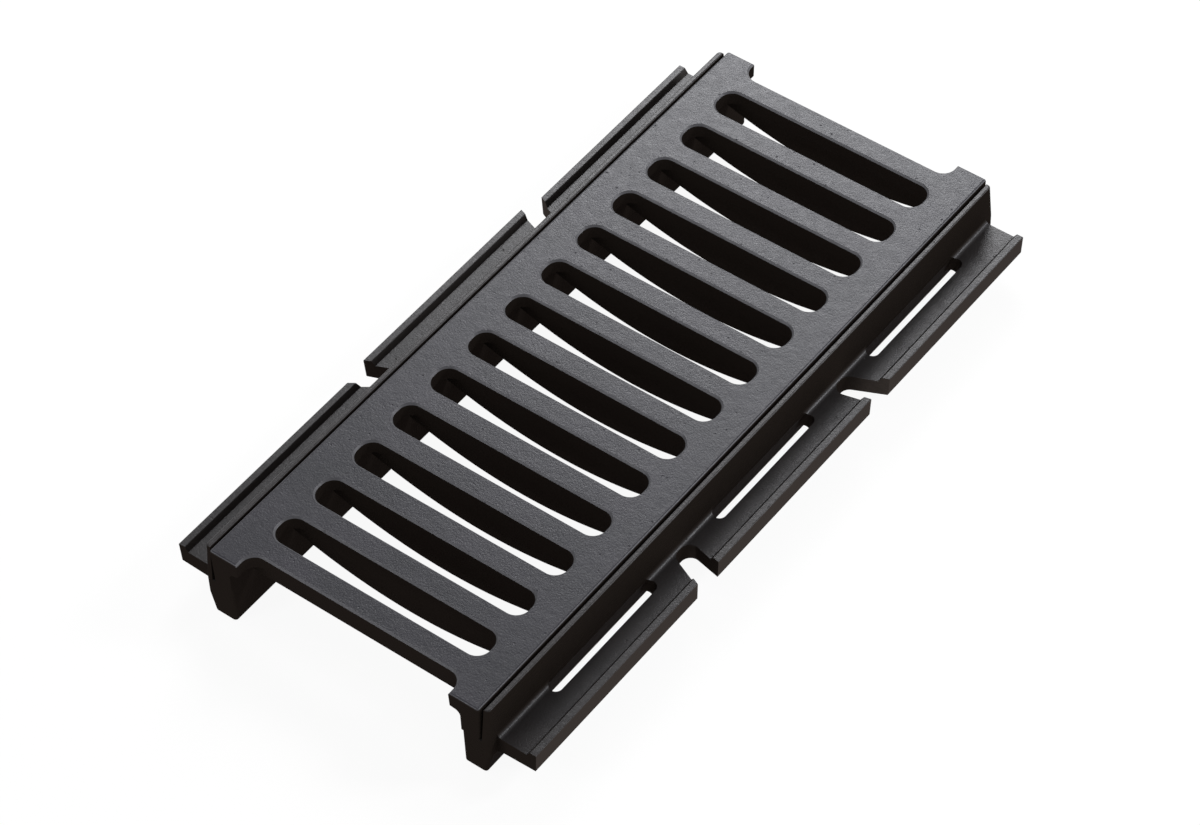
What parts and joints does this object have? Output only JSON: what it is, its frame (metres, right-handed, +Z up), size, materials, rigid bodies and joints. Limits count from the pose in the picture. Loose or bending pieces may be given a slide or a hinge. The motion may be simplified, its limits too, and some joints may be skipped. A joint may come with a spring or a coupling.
{
  "type": "channel drain grate",
  "caption": "Cast-iron channel drain grate with cross slots, lying between two edge rails whose slotted and notched flanges key into the paving.",
  "frame": {"origin": "middle of the footprint, on the surface that the rails' feet stand on", "axes": "+Y along the channel, away from the end that is nearest in the picture; +Z up, out of the channel; +X towards the rail on the right in the picture"},
  "size_m": [0.2636, 0.5, 0.0556],
  "materials": {
    "grate_iron": "black dip coating over a sand-cast surface, semi-matt",
    "rail_iron": "black dip coating over a sand-cast surface, semi-matt"
  },
  "bodies": {
    "root": {"grate": "grate_iron", "frame_rail_left": "rail_iron", "frame_rail_right": "rail_iron"}
  },
  "joints": []
}
